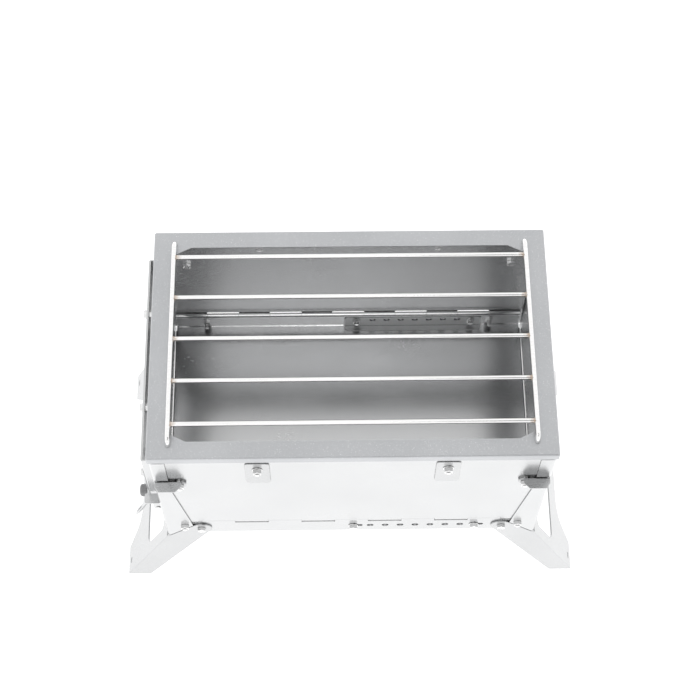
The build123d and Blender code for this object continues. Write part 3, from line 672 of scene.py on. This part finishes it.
def hex_bolt_stamp(settings, length):
    """Bolt lying along +Z: its head from z = 0, its thread up to the length."""
    shape = bmesh.new()
    count = settings.segments
    head = settings.head_height
    rings = turned_hexagon(settings.across_flats / 2, 0, head, count, True, False)
    dish = [circle(settings.thread_radius * share, depth, count)
            for share, depth in zip(DISH_SHARES, (HEAD_DISH, 0))]
    rings_to_faces(shape, dish + rings + thread_rings(settings, head, length - head, count))
    return new_object("hex_bolt_stamp", shape)


def button_bolt_stamp(settings, length):
    """Button-head bolt along +Z, with a hexagon socket in its domed end."""
    shape = bmesh.new()
    count = settings.segments
    height = settings.button_height
    radius = settings.thread_radius * BUTTON_SPREAD
    socket = hexagon_ring(SOCKET_APOTHEM, height * SOCKET_DEPTH, count)
    mouth = hexagon_ring(SOCKET_APOTHEM, 0, count)
    dome = [circle(radius * share, height * rise, count) for share, rise in BUTTON_DOME]
    rings_to_faces(shape, [socket, mouth] + dome + thread_rings(settings, height, length - height, count))
    return new_object("button_bolt_stamp", shape)


def nut_stamp(settings, height):
    """Nut along +Z with a low crimped collar on its far side."""
    shape = bmesh.new()
    count = settings.segments
    bore = settings.thread_radius + NUT_BORE_GAP
    body = height - CRIMP_HEIGHT
    rings = turned_hexagon(settings.across_flats / 2, 0, body, count, True, True)
    rings += [circle(radius * MM, body + rise * MM, count) for radius, rise in CRIMP_RINGS]
    rings += [circle(bore, body, count), circle(bore, NUT_MOUTH, count), circle(NUT_MOUTH_RADIUS, 0, count)]
    rings_to_faces(shape, rings, looped=True)
    return new_object("nut_stamp", shape)


def washer_stamp(settings, height, radius):
    """Flat washer along +Z with broken edges."""
    shape = bmesh.new()
    bore = settings.thread_radius + WASHER_BORE_GAP
    edge = min(WASHER_EDGE, height / 3)
    outline = ((radius - edge, 0), (radius, edge), (radius, height - edge), (radius - edge, height),
               (bore + edge / 2, height), (bore, height - edge / 2), (bore, 0))
    rings_to_faces(shape, [circle(*place, settings.segments) for place in outline], looped=True)
    return new_object("washer_stamp", shape)


def fastener_places(node, axis, outward):
    """Start point, direction and length of every solid of a fastener node.

    The direction runs from the head to the thread's end, or from a nut's seat
    to its far side: outwards from the box, or inwards.
    """
    places = []
    for low, high in solids_in(node):
        middle = (low + high) / 2
        side = -1.0 if middle[axis] < 0 else 1.0
        direction = Vector((0, 0, 0))
        direction[axis] = side if outward else -side
        length = high[axis] - low[axis]
        start = middle - direction * length / 2
        across = max(high[i] - low[i] for i in range(3) if i != axis)
        places.append({"start": start, "facing": direction, "length": length, "across": across,
                       "flat": Vector((1, 0, 0)) if axis == 1 else Vector((0, 1, 0))})
    return places


def scattered(name, tree, places, stamp, finish):
    """One object with the stamp at every place; the stamp itself is removed."""
    mesh = bpy.data.meshes.new(name + "_points")
    mesh.from_pydata([p["start"] for p in places], [], [])
    for aim in AIMS:
        layer = mesh.attributes.new(aim, "FLOAT_VECTOR", "POINT")
        for value, place in zip(layer.data, places):
            value.vector = place[aim]
    stamp.data.materials.append(finish)
    piece = grown(name, tree, mesh, {"Stamp": stamp, "Finish": finish}, STAMP_SMOOTH)
    bpy.data.objects.remove(stamp)
    return piece


# body, node, kind, axis and whether the head-to-tip direction points outwards
FASTENER_SETS = [("firebox", "end_wall_bolts", "button", 1, True),
                 ("firebox", "end_wall_nuts", "nut", 1, True),
                 ("firebox", "leg_pivot_bolts", "bolt", 1, False),
                 ("firebox", "leg_pivot_nuts", "nut", 1, False)]
for wall_side in WALL_SIDES:
    FASTENER_SETS += [(wall_side + "_wall", wall_side + "_wall_bolts", "bolt", 1, True),
                      (wall_side + "_wall", wall_side + "_wall_nuts", "nut", 1, True),
                      (wall_side + "_wall", wall_side + "_wall_washers", "washer", 1, True),
                      (wall_side + "_damper", wall_side + "_damper_bolts", "bolt", 1, False),
                      (wall_side + "_damper", wall_side + "_damper_nuts", "nut", 1, False)]
FASTENER_SETS += [("fuel_door", "door_bolts", "bolt", 0, False),
                  ("fuel_door", "door_nuts", "nut", 0, False),
                  ("fuel_door", "door_latch_nut", "nut", 0, False)]


def make_fasteners(settings, body, tree, finish):
    """All bolts, nuts and washers that ride on one body, as one piece."""
    parts, stood_for = [], []
    for owner, node, kind, axis, outward in FASTENER_SETS:
        if owner != body:
            continue
        stood_for.append(node)
        groups = {}
        for place in fastener_places(node, axis, outward):
            sort = "washer" if place["length"] < WASHER_LIMIT else kind
            groups.setdefault((sort, round(place["length"], 5)), []).append(place)
        for (sort, length), places in sorted(groups.items(), key=lambda item: item[0]):
            if sort == "button":
                stamp = button_bolt_stamp(settings, length)
            elif sort == "bolt":
                stamp = hex_bolt_stamp(settings, length)
            elif sort == "nut":
                stamp = nut_stamp(settings, length)
            else:
                stamp = washer_stamp(settings, length, places[0]["across"] / 2)
            parts.append(scattered(f"{node}_{sort}_{len(parts)}", tree, places, stamp, finish))
    piece = joined(body + "_fasteners", parts)
    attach(piece, body)
    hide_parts(*stood_for)


# ---- wire grate ---------------------------------------------------------
BEND_STEPS = 10
ROD_CHAMFER = 0.4 * MM
WIRE_SMOOTH = 40                # degrees; sharper edges of the wire stay sharp
BEAD_LUMP_PITCH = 1.7           # lumps across a bead of unit radius
BEAD_FLATTENING = 0.62          # a bead's length along the wire over its width
BEAD_SHIFT = 0.4 * MM           # outwards, so that a bead covers the bar's end


def rod_path(settings, x):
    """Side rod: straight, both ends bent down onto the frame."""
    tip = RODS_HIGH.y - WIRE_RADIUS
    top = RODS_HIGH.z - WIRE_RADIUS
    radius = settings.rod_bend
    half = [Vector((x, tip, RODS_LOW.z)), Vector((x, tip, top - radius))]
    for step in range(1, BEND_STEPS + 1):
        angle = math.pi / 2 * step / BEND_STEPS
        half.append(Vector((x, tip - radius + radius * math.cos(angle),
                            top - radius + radius * math.sin(angle))))
    other = [Vector((x, -p.y, p.z)) for p in reversed(half)]
    return half + other


def tube_rings(path, radius, count, edge):
    """Round section swept along a path in a plane of constant X, its ends chamfered."""
    across = Vector((1, 0, 0))
    rings = []
    for i, place in enumerate(path):
        before, after = path[max(i - 1, 0)], path[min(i + 1, len(path) - 1)]
        ahead = (after - before).normalized()
        normal = ahead.cross(across).normalized()
        ends = ((radius - edge, 0), (radius, edge)) if i == 0 else ((radius, -edge), (radius - edge, 0))
        for size, shift in ends if i in (0, len(path) - 1) else ((radius, 0),):
            middle = place + ahead * shift
            rings.append([middle + across * size * math.cos(a) + normal * size * math.sin(a)
                          for a in (2 * math.pi * k / count for k in range(count))])
    return rings


def make_side_rods(settings, finish):
    """The two bent side rods, as one piece."""
    shape = bmesh.new()
    x = RODS_HIGH.x - WIRE_RADIUS
    for side in (-1, 1):
        path = rod_path(settings, side * x)
        rings_to_faces(shape, tube_rings(path, WIRE_RADIUS, settings.sides, ROD_CHAMFER))
    piece = new_object("grate_side_wires", shape, WIRE_SMOOTH)
    piece.data.materials.append(finish)
    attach(piece, "grate")
    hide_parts("grate_side_rods")


def make_crossbars(settings, finish):
    """The straight crossbars, as one piece."""
    height = (BARS_LOW.z + BARS_HIGH.z) / 2
    first = BARS_LOW.y + WIRE_RADIUS
    pitch = -2 * first / (settings.bar_count - 1)
    half = RODS_HIGH.x - WIRE_RADIUS - settings.bar_end
    piece = grown("grate_cross_wires", crossbar_tree(), bpy.data.meshes.new("crossbar_seed"),
                  {"Count": settings.bar_count, "Sides": settings.sides,
                   "First Place": (0, first, height), "Pitch": (0, pitch, 0),
                   "Half Length": (half, 0, 0), "Wire Radius": WIRE_RADIUS, "Finish": finish}, WIRE_SMOOTH)
    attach(piece, "grate")
    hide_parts("grate_crossbars")


def bead_stamp(settings, size):
    """Lumpy bead, a little flatter along the wire."""
    shape = bmesh.new()
    bmesh.ops.create_icosphere(shape, subdivisions=4, radius=1)
    for vertex in shape.verts:
        lump = 0.5 + 0.5 * noise.noise(vertex.co * BEAD_LUMP_PITCH + Vector((3, 1, 2)))
        vertex.co *= 1 - settings.bead_lumps * lump
        vertex.co.z *= BEAD_FLATTENING
        vertex.co *= size
    return new_object("bead_stamp", shape)


def make_welds(settings, tree, finish):
    """A bead at both ends of every crossbar, as one piece."""
    places = []
    for low, high in solids_in("grate_welds"):
        middle = (low + high) / 2
        side = Vector((-1.0 if middle.x < 0 else 1.0, 0, 0))
        places.append({"start": middle + side * BEAD_SHIFT, "facing": side, "flat": Vector((0, 0, 1)),
                       "size": high.z - low.z})
    stamp = bead_stamp(settings, places[0]["size"] / 2)
    piece = scattered("grate_weld_beads", tree, places, stamp, finish)
    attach(piece, "grate")
    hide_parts("grate_welds")


# ---- operators ----------------------------------------------------------
class CAMPGRILL_OT_coat_sheets(bpy.types.Operator):
    """Give the walls, tray, end walls, legs and frame their steel"""

    bl_idname = "campgrill.coat_sheets"
    bl_label = "Coat Sheet Steel"

    def execute(self, context):
        steel = context.scene.camp_grill_steel
        bright = rolled_steel("bright_sheet", tuple(steel.sheet_colour), steel.sheet_roughness,
                              (0.3, 1, 1), 0.003 * MM, clouds=0.04, painted_hinge_light=True)
        # painted shade: the legs' sharp edges are darkened to a grey outline
        satin = rolled_steel("satin_leg_sheet", tuple(steel.leg_colour), 0.30, (1, 0.3, 1), 0.004 * MM,
                             edge=1.2 * MM, painted_edge_colour=darker(tuple(steel.leg_colour), 0.55))
        ground = rolled_steel("fine_ground_frame", tuple(steel.frame_colour), steel.frame_roughness,
                              (0.6, 1, 1), 0.02 * MM, speck=0.7, edge=0.8 * MM, mottle=0.08, pitch=900)
        for node in SHEET_NODES:
            coat(node, bright)
        for node in LEG_NODES:
            coat(node, satin)
        coat("top_frame", ground)
        coat("fuel_door", bright)
        for pin in ("front_hinge_pin", "rear_hinge_pin"):
            coat(pin, bright)
        return {"FINISHED"}


class CAMPGRILL_OT_coat_fittings(bpy.types.Operator):
    """Give the latches, clips, dampers, lever and knob their steel"""

    bl_idname = "campgrill.coat_fittings"
    bl_label = "Coat Fittings"

    def execute(self, context):
        steel = context.scene.camp_grill_steel
        fitting = rolled_steel("bright_fitting", tuple(steel.leg_colour), 0.28, (0.08, 1, 1), 0.01 * MM,
                               edge=0.35 * MM)
        damper = rolled_steel("dark_damper", tuple(steel.damper_colour), 0.36, (0.05, 1, 1), 0.012 * MM)
        for corner in CORNERS:
            coat(corner + "_latch", fitting)
            coat(corner + "_clip", fitting)
        for node in ("latch_bracket", "door_latch_lever"):
            coat(node, fitting)
        for side in WALL_SIDES:
            coat(side + "_damper", damper)
        coat("door_latch_knob", rolled_steel("dark_knob", (0.22, 0.22, 0.225), 0.35, (1, 1, 1), 0.02 * MM))
        hardware = bright_hardware("bright_hardware", tuple(steel.hardware_colour))
        for node in ("door_hinge_rivets", "door_latch_pivot"):
            coat(node, hardware)
        return {"FINISHED"}


class CAMPGRILL_OT_add_fasteners(bpy.types.Operator):
    """Add threaded bolts, nuts and washers on every body"""

    bl_idname = "campgrill.add_fasteners"
    bl_label = "Add Fasteners"

    def execute(self, context):
        settings = context.scene.camp_grill_fasteners
        finish = bpy.data.materials["bright_hardware"]
        tree = scatter_tree()
        for body in sorted({owner for owner, *_ in FASTENER_SETS}):
            make_fasteners(settings, body, tree, finish)
        return {"FINISHED"}


class CAMPGRILL_OT_add_grate(bpy.types.Operator):
    """Add the wire grate with its weld beads"""

    bl_idname = "campgrill.add_grate"
    bl_label = "Add Wire Grate"

    def execute(self, context):
        steel = context.scene.camp_grill_steel
        settings = context.scene.camp_grill_grate
        wire = heat_tinted_wire("polished_wire", tuple(steel.wire_colour), tuple(steel.heat_tint),
                                RODS_HIGH.x - WIRE_RADIUS)
        make_side_rods(settings, wire)
        make_crossbars(settings, wire)
        weld = burnt_weld("weld_bead", tuple(steel.wire_colour), tuple(steel.heat_tint))
        make_welds(settings, bpy.data.node_groups["fastener_scatter"], weld)
        return {"FINISHED"}


# ---- stage --------------------------------------------------------------
FLOOR_HALF = 6                  # metres from the floor's middle to its edges
FLOOR_DROP = 0.2 * MM           # the floor lies this far under the feet
FLOOR_ROUGHNESS = 0.9
SENSOR_WIDTH = 36               # millimetres
VIEW_RANGE = 50                 # metres
WALL_TOP = (0.25, 0.8)          # sine of the elevation where the walls fade into the ceiling
PANEL_EDGES = {"X": (-0.06, 0.16), "Y": (0.0, -0.3), "Z": (0.55, 0.8)}    # where the dark panel fades in
LAMP_EDGE = (0.9935, 0.9997)    # cosine of the angle from the lamp's middle, at its rim and inside


class CAMPGRILL_OT_set_stage(bpy.types.Operator):
    """Set up the pale floor, the soft light and the camera"""

    bl_idname = "campgrill.set_stage"
    bl_label = "Set Stage"

    def execute(self, context):
        stage = context.scene.camp_grill_stage
        self.add_floor(stage)
        self.add_sky(stage)
        self.add_key(stage)
        self.add_camera(stage)
        context.scene.view_settings.view_transform = "Standard"
        return {"FINISHED"}

    def add_floor(self, stage):
        """Wide pale floor that glows a little, like a light table."""
        shape = bmesh.new()
        bmesh.ops.create_grid(shape, x_segments=1, y_segments=1, size=FLOOR_HALF)
        floor = new_object("studio_floor", shape)
        floor.location.z = -FLOOR_DROP
        recipe = Recipe("pale_floor", metallic=0.0)
        recipe.shader.inputs["Roughness"].default_value = FLOOR_ROUGHNESS
        tone = recipe.spread(recipe.noise(scale=3, detail=3), 0.0, 1.0)
        colour = tuple(stage.floor_colour)
        recipe.links.new(recipe.mixed(tone, darker(colour, 0.98), colour), recipe.shader.inputs["Base Color"])
        recipe.shader.inputs["Emission Color"].default_value = (1.0, 1.0, 1.0, 1.0)
        recipe.shader.inputs["Emission Strength"].default_value = stage.floor_glow
        floor.data.materials.append(recipe.material)

    def add_sky(self, stage):
        """White walls and ceiling, with a lamp and a dark panel overhead in front."""
        world = bpy.data.worlds.new("studio_room")
        world.use_nodes = True
        nodes, links = world.node_tree.nodes, world.node_tree.links
        split = nodes.new("ShaderNodeSeparateXYZ")
        direction = nodes.new("ShaderNodeTexCoord").outputs["Generated"]
        links.new(direction, split.inputs["Vector"])

        def ramp(source, edges, low, high):
            node = nodes.new("ShaderNodeMapRange")
            node.interpolation_type = "SMOOTHSTEP"
            limits = {"From Min": edges[0], "From Max": edges[1], "To Min": low, "To Max": high}
            for label, value in limits.items():
                node.inputs[label].default_value = value
            links.new(source, node.inputs["Value"])
            return node.outputs["Result"]

        def product(first, second):
            node = nodes.new("ShaderNodeMath")
            node.operation = "MULTIPLY"
            links.new(first, node.inputs[0])
            links.new(second, node.inputs[1])
            return node.outputs["Value"]

        room = ramp(split.outputs["Z"], WALL_TOP, stage.walls, stage.ceiling)
        across, along, up = (ramp(split.outputs[axis], edges, 0, 1) for axis, edges in PANEL_EDGES.items())
        panel = product(product(across, along), up)
        towards = nodes.new("ShaderNodeVectorMath")
        towards.operation = "DOT_PRODUCT"
        links.new(direction, towards.inputs[0])
        towards.inputs[1].default_value = Vector(stage.lamp_direction).normalized()
        room = product(room, ramp(towards.outputs["Value"], LAMP_EDGE, 1, 1 + stage.lamp_glow))
        background = nodes["Background"]
        background.inputs["Color"].default_value = (1.0, 1.0, 1.0, 1.0)
        links.new(product(room, ramp(panel, (0, 1), 1, stage.shade)), background.inputs["Strength"])
        bpy.context.scene.world = world

    def add_key(self, stage):
        """Broad overhead light that brightens the floor but shows in no reflection."""
        lamp = bpy.data.lights.new("key_light", "SUN")
        lamp.energy = stage.key_strength
        lamp.angle = stage.key_spread
        holder = bpy.data.objects.new("key_light", lamp)
        holder.visible_glossy = False
        bpy.context.scene.collection.objects.link(holder)

    def add_camera(self, stage):
        """Camera high in front, looking steeply down."""
        lens = bpy.data.cameras.new("camera")
        lens.sensor_width = SENSOR_WIDTH
        lens.lens = stage.lens
        lens.clip_end = VIEW_RANGE
        camera = bpy.data.objects.new("camera", lens)
        bpy.context.scene.collection.objects.link(camera)
        turn = (Matrix.Rotation(stage.camera_yaw, 4, "Z")
                @ Matrix.Rotation(math.pi / 2 - stage.camera_pitch, 4, "X")
                @ Matrix.Rotation(stage.camera_roll, 4, "Z"))
        camera.matrix_world = Matrix.Translation(Vector(stage.camera_place)) @ turn
        bpy.context.scene.camera = camera


class CAMPGRILL_PT_panel(bpy.types.Panel):
    """Camp grill tools"""

    bl_idname = "CAMPGRILL_PT_panel"
    bl_label = "Camp Grill"
    bl_space_type = "VIEW_3D"
    bl_region_type = "UI"
    bl_category = "Camp Grill"

    def draw(self, context):
        for operator in OPERATORS:
            self.layout.operator(operator.bl_idname)


GROUPS = {"camp_grill_steel": CampGrillSteel, "camp_grill_fasteners": CampGrillFasteners,
          "camp_grill_grate": CampGrillGrate, "camp_grill_stage": CampGrillStage}
OPERATORS = (CAMPGRILL_OT_set_stage, CAMPGRILL_OT_coat_sheets, CAMPGRILL_OT_coat_fittings,
             CAMPGRILL_OT_add_fasteners, CAMPGRILL_OT_add_grate)


def register():
    for name, group in GROUPS.items():
        bpy.utils.register_class(group)
        setattr(bpy.types.Scene, name, PointerProperty(type=group))
    for operator in OPERATORS:
        bpy.utils.register_class(operator)
    bpy.utils.register_class(CAMPGRILL_PT_panel)


def unregister():
    bpy.utils.unregister_class(CAMPGRILL_PT_panel)
    for operator in reversed(OPERATORS):
        bpy.utils.unregister_class(operator)
    for name, group in reversed(GROUPS.items()):
        delattr(bpy.types.Scene, name)
        bpy.utils.unregister_class(group)


def main():
    register()
    bpy.ops.campgrill.set_stage()
    bpy.ops.campgrill.coat_sheets()
    bpy.ops.campgrill.coat_fittings()
    bpy.ops.campgrill.add_fasteners()
    bpy.ops.campgrill.add_grate()


if __name__ == "__main__":
    main()
